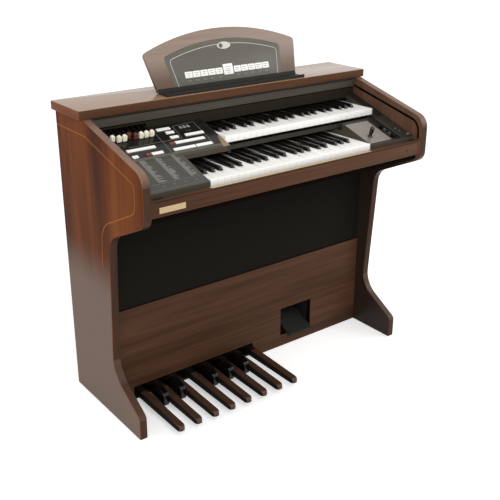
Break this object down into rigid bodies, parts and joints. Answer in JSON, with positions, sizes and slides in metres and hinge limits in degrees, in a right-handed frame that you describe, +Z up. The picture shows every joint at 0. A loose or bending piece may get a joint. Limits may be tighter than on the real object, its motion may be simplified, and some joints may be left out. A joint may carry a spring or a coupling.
{
  "type": "electronic organ",
  "caption": "Spinet electronic organ: wooden case with a sliding lid, stepped manuals, tab and drawbar controls, a pedalboard, an expression pedal and a music rest.",
  "frame": {"origin": "on the floor, at the middle of the object's outline seen from above", "axes": "+X to the player's right, +Y from the player to the back, +Z up"},
  "size_m": [1.088, 0.491, 1.1099],
  "materials": {
    "veneer": "satin",
    "board": "satin",
    "keyslip": "satin",
    "hardboard": "matte",
    "cloth": "matte",
    "inner_board": "matte",
    "panel_black": "gloss",
    "panel_grey": "matte",
    "frame_dark": "matte",
    "ivory": "gloss",
    "ebony": "gloss",
    "brown_knob": "gloss",
    "cream": "gloss",
    "rest_board": "satin",
    "rest_ledge": "matte",
    "pedal_brown": "satin",
    "rubber": "matte",
    "lid": "satin",
    "gold": "satin",
    "steel": "satin"
  },
  "bodies": {
    "cabinet": {"left_side_panel": "veneer", "right_side_panel": "veneer", "top_board": "veneer", "back_panel": "hardboard", "lower_front_panel": "board", "speaker_cloth": "cloth", "speaker_baffle": "inner_board", "woofer": "steel", "key_bed": "inner_board", "keyslip": "keyslip", "name_plate": "gold", "lid_lock": "steel", "lid_bumper_left": "rubber", "lid_bumper_right": "rubber", "rear_fascia": "inner_board", "upper_left_panel": "panel_black", "lower_left_panel": "panel_grey", "right_end_block": "panel_black", "upper_key_frame": "frame_dark", "lower_key_frame": "frame_dark", "pedal_frame": "frame_dark", "treadle_housing": "frame_dark", "amplifier": "steel", "mains_inlet": "rubber"},
    "lid": {"lid_lead_bar": "lid", "lid_tambour": "lid"},
    "music_rest": {"music_rest_board": "rest_board", "music_rest_ledge": "rest_ledge"},
    "treadle": {"treadle": "rubber"},
    "bend_lever": {"bend_lever": "ebony"},
    "slider_knobs": {"slider_knobs": "frame_dark"},
    "tabs_left": {"tabs_left": "ivory"},
    "tabs_centre": {"tabs_centre": "ivory"},
    "tabs_right_upper": {"tabs_right_upper": "ivory"},
    "tabs_right_lower": {"tabs_right_lower": "ivory"},
    "lower_naturals": {"lower_naturals": "ivory"},
    "lower_sharps": {"lower_sharps": "ebony"},
    "upper_naturals": {"upper_naturals": "ivory"},
    "upper_sharps": {"upper_sharps": "ebony"},
    "drawbar_1": {"drawbar_1": "cream"},
    "drawbar_2": {"drawbar_2": "cream"},
    "drawbar_3": {"drawbar_3": "cream"},
    "drawbar_4": {"drawbar_4": "brown_knob"},
    "drawbar_5": {"drawbar_5": "brown_knob"},
    "drawbar_6": {"drawbar_6": "cream"},
    "drawbar_7": {"drawbar_7": "cream"},
    "drawbar_8": {"drawbar_8": "cream"},
    "pedal_c1": {"pedal_c1": "pedal_brown"},
    "pedal_cs1": {"pedal_cs1": "ebony"},
    "pedal_d1": {"pedal_d1": "pedal_brown"},
    "pedal_ds1": {"pedal_ds1": "ebony"},
    "pedal_e1": {"pedal_e1": "pedal_brown"},
    "pedal_f1": {"pedal_f1": "pedal_brown"},
    "pedal_fs1": {"pedal_fs1": "ebony"},
    "pedal_g1": {"pedal_g1": "pedal_brown"},
    "pedal_gs1": {"pedal_gs1": "ebony"},
    "pedal_a1": {"pedal_a1": "pedal_brown"},
    "pedal_as1": {"pedal_as1": "ebony"},
    "pedal_b1": {"pedal_b1": "pedal_brown"},
    "pedal_c2": {"pedal_c2": "pedal_brown"}
  },
  "joints": [
    {"name": "lid_slide", "type": "slide", "parent": "cabinet", "child": "lid", "axis": [0, -0.9715, -0.2369], "range_m": [0, 0.27], "deforming": ["lid_tambour"]},
    {"name": "music_rest_lift", "type": "slide", "parent": "cabinet", "child": "music_rest", "axis": [0, 0, 1], "range_m": [0, 0.05]},
    {"name": "treadle_tilt", "type": "hinge", "parent": "cabinet", "child": "treadle", "pos_m": [0.2155, 0.0853, 0.079], "axis": [1, 0, 0], "range_deg": [-20, 0]},
    {"name": "bend_lever_tilt", "type": "hinge", "parent": "cabinet", "child": "bend_lever", "pos_m": [0.3481, -0.1695, 0.7792], "axis": [1, 0, 0], "range_deg": [-18, 18], "stiffness_Nm_per_rad": 0.02},
    {"name": "slider_travel", "type": "slide", "parent": "cabinet", "child": "slider_knobs", "axis": [0, -0.9496, -0.3134], "range_m": [-0.018, 0.018]},
    {"name": "tabs_left_press", "type": "slide", "parent": "cabinet", "child": "tabs_left", "axis": [0, 0.3134, -0.9496], "range_m": [0, 0.0018], "stiffness_N_per_m": 400, "springref_m": -0.006},
    {"name": "tabs_centre_press", "type": "slide", "parent": "cabinet", "child": "tabs_centre", "axis": [0, 0.3134, -0.9496], "range_m": [0, 0.0018], "stiffness_N_per_m": 400, "springref_m": -0.006},
    {"name": "tabs_right_upper_press", "type": "slide", "parent": "cabinet", "child": "tabs_right_upper", "axis": [0, 0.3134, -0.9496], "range_m": [0, 0.0018], "stiffness_N_per_m": 400, "springref_m": -0.006},
    {"name": "tabs_right_lower_press", "type": "slide", "parent": "cabinet", "child": "tabs_right_lower", "axis": [0, 0.3134, -0.9496], "range_m": [0, 0.0018], "stiffness_N_per_m": 400, "springref_m": -0.006},
    {"name": "drawbar_1_draw", "type": "slide", "parent": "cabinet", "child": "drawbar_1", "axis": [0, -0.9496, -0.3134], "range_m": [-0.025, 0.02]},
    {"name": "drawbar_2_draw", "type": "slide", "parent": "cabinet", "child": "drawbar_2", "axis": [0, -0.9496, -0.3134], "range_m": [-0.025, 0.02]},
    {"name": "drawbar_3_draw", "type": "slide", "parent": "cabinet", "child": "drawbar_3", "axis": [0, -0.9496, -0.3134], "range_m": [-0.025, 0.02]},
    {"name": "drawbar_4_draw", "type": "slide", "parent": "cabinet", "child": "drawbar_4", "axis": [0, -0.9496, -0.3134], "range_m": [-0.025, 0.02]},
    {"name": "drawbar_5_draw", "type": "slide", "parent": "cabinet", "child": "drawbar_5", "axis": [0, -0.9496, -0.3134], "range_m": [-0.017, 0.028]},
    {"name": "drawbar_6_draw", "type": "slide", "parent": "cabinet", "child": "drawbar_6", "axis": [0, -0.9496, -0.3134], "range_m": [-0.025, 0.02]},
    {"name": "drawbar_7_draw", "type": "slide", "parent": "cabinet", "child": "drawbar_7", "axis": [0, -0.9496, -0.3134], "range_m": [-0.025, 0.02]},
    {"name": "drawbar_8_draw", "type": "slide", "parent": "cabinet", "child": "drawbar_8", "axis": [0, -0.9496, -0.3134], "range_m": [-0.019, 0.026]},
    {"name": "lower_naturals_press", "type": "hinge", "parent": "cabinet", "child": "lower_naturals", "pos_m": [0.0056, 0.0135, 0.7493], "axis": [1, 0, 0], "range_deg": [0, 2.6], "stiffness_Nm_per_rad": 80, "springref_deg": -5.16},
    {"name": "lower_sharps_press", "type": "hinge", "parent": "cabinet", "child": "lower_sharps", "pos_m": [0.0056, 0.0135, 0.7493], "axis": [1, 0, 0], "range_deg": [0, 2.6], "stiffness_Nm_per_rad": 30, "springref_deg": -5.16},
    {"name": "upper_naturals_press", "type": "hinge", "parent": "cabinet", "child": "upper_naturals", "pos_m": [0.1701, 0.1715, 0.8113], "axis": [1, 0, 0], "range_deg": [0, 2.6], "stiffness_Nm_per_rad": 80, "springref_deg": -5.16},
    {"name": "upper_sharps_press", "type": "hinge", "parent": "cabinet", "child": "upper_sharps", "pos_m": [0.1701, 0.1715, 0.8113], "axis": [1, 0, 0], "range_deg": [0, 2.6], "stiffness_Nm_per_rad": 30, "springref_deg": -5.16},
    {"name": "pedal_c1_press", "type": "hinge", "parent": "cabinet", "child": "pedal_c1", "pos_m": [-0.43, 0.165, 0.04], "axis": [1, 0, 0], "range_deg": [0, 2.3], "stiffness_Nm_per_rad": 12, "springref_deg": -6.88},
    {"name": "pedal_cs1_press", "type": "hinge", "parent": "cabinet", "child": "pedal_cs1", "pos_m": [-0.399, 0.165, 0.04], "axis": [1, 0, 0], "range_deg": [0, 3], "stiffness_Nm_per_rad": 12, "springref_deg": -6.88},
    {"name": "pedal_d1_press", "type": "hinge", "parent": "cabinet", "child": "pedal_d1", "pos_m": [-0.368, 0.165, 0.04], "axis": [1, 0, 0], "range_deg": [0, 2.3], "stiffness_Nm_per_rad": 12, "springref_deg": -6.88},
    {"name": "pedal_ds1_press", "type": "hinge", "parent": "cabinet", "child": "pedal_ds1", "pos_m": [-0.337, 0.165, 0.04], "axis": [1, 0, 0], "range_deg": [0, 3], "stiffness_Nm_per_rad": 12, "springref_deg": -6.88},
    {"name": "pedal_e1_press", "type": "hinge", "parent": "cabinet", "child": "pedal_e1", "pos_m": [-0.306, 0.165, 0.04], "axis": [1, 0, 0], "range_deg": [0, 2.3], "stiffness_Nm_per_rad": 12, "springref_deg": -6.88},
    {"name": "pedal_f1_press", "type": "hinge", "parent": "cabinet", "child": "pedal_f1", "pos_m": [-0.244, 0.165, 0.04], "axis": [1, 0, 0], "range_deg": [0, 2.3], "stiffness_Nm_per_rad": 12, "springref_deg": -6.88},
    {"name": "pedal_fs1_press", "type": "hinge", "parent": "cabinet", "child": "pedal_fs1", "pos_m": [-0.213, 0.165, 0.04], "axis": [1, 0, 0], "range_deg": [0, 3], "stiffness_Nm_per_rad": 12, "springref_deg": -6.88},
    {"name": "pedal_g1_press", "type": "hinge", "parent": "cabinet", "child": "pedal_g1", "pos_m": [-0.182, 0.165, 0.04], "axis": [1, 0, 0], "range_deg": [0, 2.3], "stiffness_Nm_per_rad": 12, "springref_deg": -6.88},
    {"name": "pedal_gs1_press", "type": "hinge", "parent": "cabinet", "child": "pedal_gs1", "pos_m": [-0.151, 0.165, 0.04], "axis": [1, 0, 0], "range_deg": [0, 3], "stiffness_Nm_per_rad": 12, "springref_deg": -6.88},
    {"name": "pedal_a1_press", "type": "hinge", "parent": "cabinet", "child": "pedal_a1", "pos_m": [-0.12, 0.165, 0.04], "axis": [1, 0, 0], "range_deg": [0, 2.3], "stiffness_Nm_per_rad": 12, "springref_deg": -6.88},
    {"name": "pedal_as1_press", "type": "hinge", "parent": "cabinet", "child": "pedal_as1", "pos_m": [-0.089, 0.165, 0.04], "axis": [1, 0, 0], "range_deg": [0, 3], "stiffness_Nm_per_rad": 12, "springref_deg": -6.88},
    {"name": "pedal_b1_press", "type": "hinge", "parent": "cabinet", "child": "pedal_b1", "pos_m": [-0.058, 0.165, 0.04], "axis": [1, 0, 0], "range_deg": [0, 2.3], "stiffness_Nm_per_rad": 12, "springref_deg": -6.88},
    {"name": "pedal_c2_press", "type": "hinge", "parent": "cabinet", "child": "pedal_c2", "pos_m": [0.004, 0.165, 0.04], "axis": [1, 0, 0], "range_deg": [0, 2.3], "stiffness_Nm_per_rad": 12, "springref_deg": -6.88}
  ]
}
